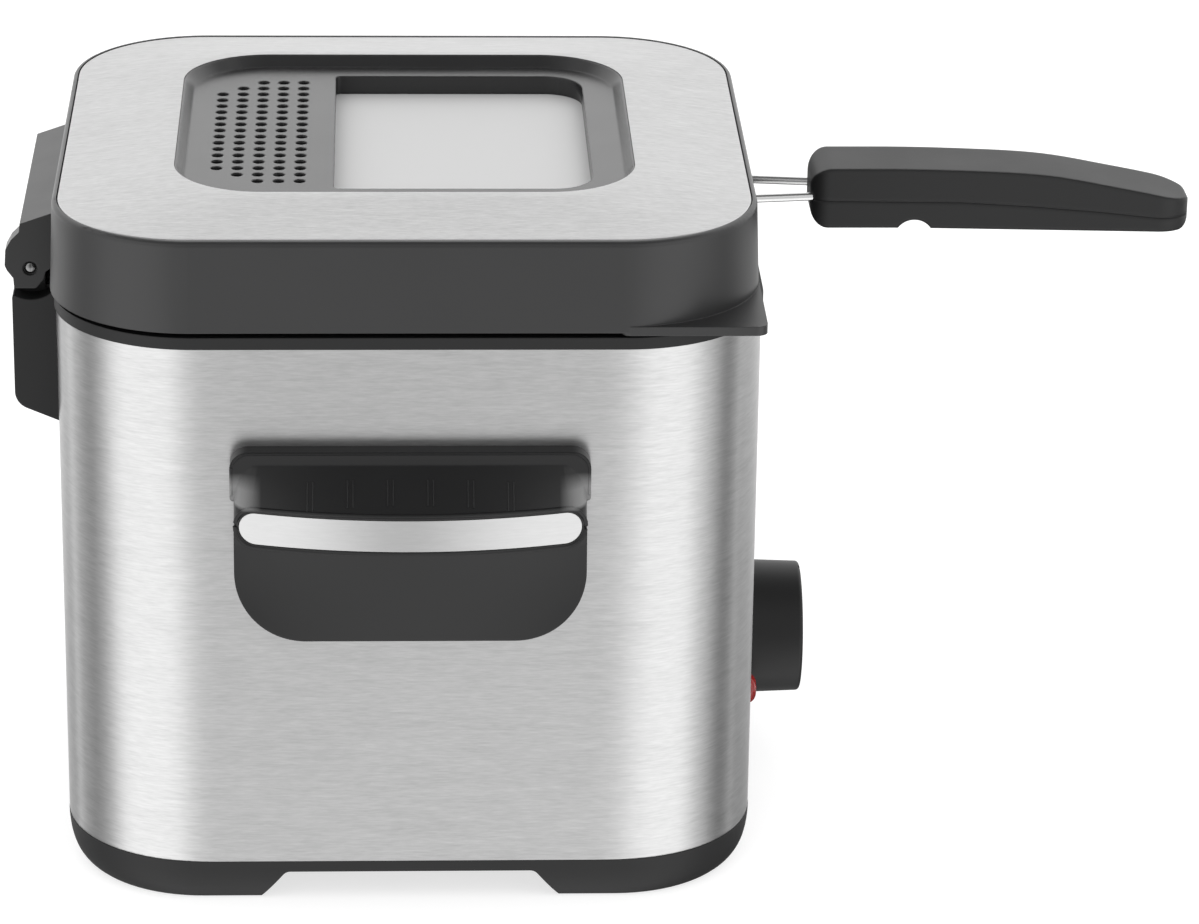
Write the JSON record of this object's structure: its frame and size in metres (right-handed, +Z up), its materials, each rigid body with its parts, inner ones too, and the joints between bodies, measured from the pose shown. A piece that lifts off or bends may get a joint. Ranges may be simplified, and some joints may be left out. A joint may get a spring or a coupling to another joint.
{
  "type": "deep fryer",
  "caption": "Compact countertop deep fryer: square brushed-steel body, hinged windowed lid, wire basket with side handle, temperature knob and side carry handles.",
  "frame": {"origin": "on the table, under the middle of the steel housing", "axes": "+X towards the knob and the basket handle, -X towards the lid hinge, +Z up"},
  "size_m": [0.3374, 0.2238, 0.2006],
  "materials": {
    "black_plastic": "fine satin moulding grain",
    "dish_plastic": "satin, smoother than the frame",
    "rubber": "matt",
    "brushed_steel": "fine brushing round the body",
    "lid_steel": "fine lengthwise brushing",
    "trim_steel": "fine lengthwise brushing",
    "zinc_steel": "zinc plated",
    "element_steel": "heat darkened",
    "cast_aluminium": "as cast",
    "liner_aluminium": "pressed, satin",
    "bowl_coating": "grey non-stick coating",
    "wire_steel": "bright plated wire",
    "window_glass": "clear, flat",
    "clear_glass": "clear",
    "red_lens": "clear red",
    "green_lens": "clear green",
    "silicone": "matt grey",
    "filter_foam": "open fibre felt",
    "ceramic": "moulded, pale",
    "lead_insulation": "glass-braid sleeve"
  },
  "bodies": {
    "housing": {"base_pan": "black_plastic", "foot_pads": "rubber", "shell_brackets": "zinc_steel", "base_screws": "zinc_steel", "steel_shell": "brushed_steel", "top_rim": "black_plastic", "inner_bowl": "bowl_coating", "heat_plate": "cast_aluminium", "heating_element": "element_steel", "heat_shield": "zinc_steel", "thermal_cutout": "ceramic", "thermostat_body": "ceramic", "thermostat_bracket": "zinc_steel", "thermostat_sensor": "element_steel", "power_lens": "red_lens", "ready_lens": "green_lens", "pilot_lamps": "clear_glass", "cord_bushing": "black_plastic", "terminal_block": "ceramic", "internal_leads": "lead_insulation", "carry_handle_near": "black_plastic", "handle_trim_near": "trim_steel", "carry_handle_far": "black_plastic", "handle_trim_far": "trim_steel", "handle_screws": "zinc_steel", "hinge_base": "black_plastic", "hinge_screws": "zinc_steel"},
    "lid": {"lid_hinge_bracket": "black_plastic", "hinge_pin": "wire_steel", "lid_frame": "black_plastic", "lid_plate": "lid_steel", "lid_insert": "dish_plastic", "window_glass": "window_glass", "window_retainer": "black_plastic", "filter_cassette": "black_plastic", "filter_pad": "filter_foam", "filter_mesh": "wire_steel", "lid_liner": "liner_aluminium", "lid_seal": "silicone", "lid_screws": "zinc_steel"},
    "basket": {"basket_mesh": "wire_steel", "basket_rim": "wire_steel", "basket_frame": "wire_steel", "handle_wires": "wire_steel", "basket_bracket": "wire_steel", "grip_upper": "black_plastic", "grip_lower": "black_plastic", "grip_screws": "zinc_steel"},
    "knob": {"knob": "black_plastic", "thermostat_shaft": "zinc_steel"}
  },
  "joints": [
    {"name": "lid_hinge", "type": "hinge", "parent": "housing", "child": "lid", "pos_m": [-0.1059, 0, 0.1695], "axis": [0, -1, 0], "range_deg": [0, 88]},
    {"name": "knob_turn", "type": "hinge", "parent": "housing", "child": "knob", "pos_m": [0.108, 0, 0.043], "axis": [1, 0, 0], "range_deg": [0, 270]},
    {"name": "basket_lift", "type": "slide", "parent": "housing", "child": "basket", "axis": [0, 0, 1], "range_m": [0, 0.004]}
  ]
}
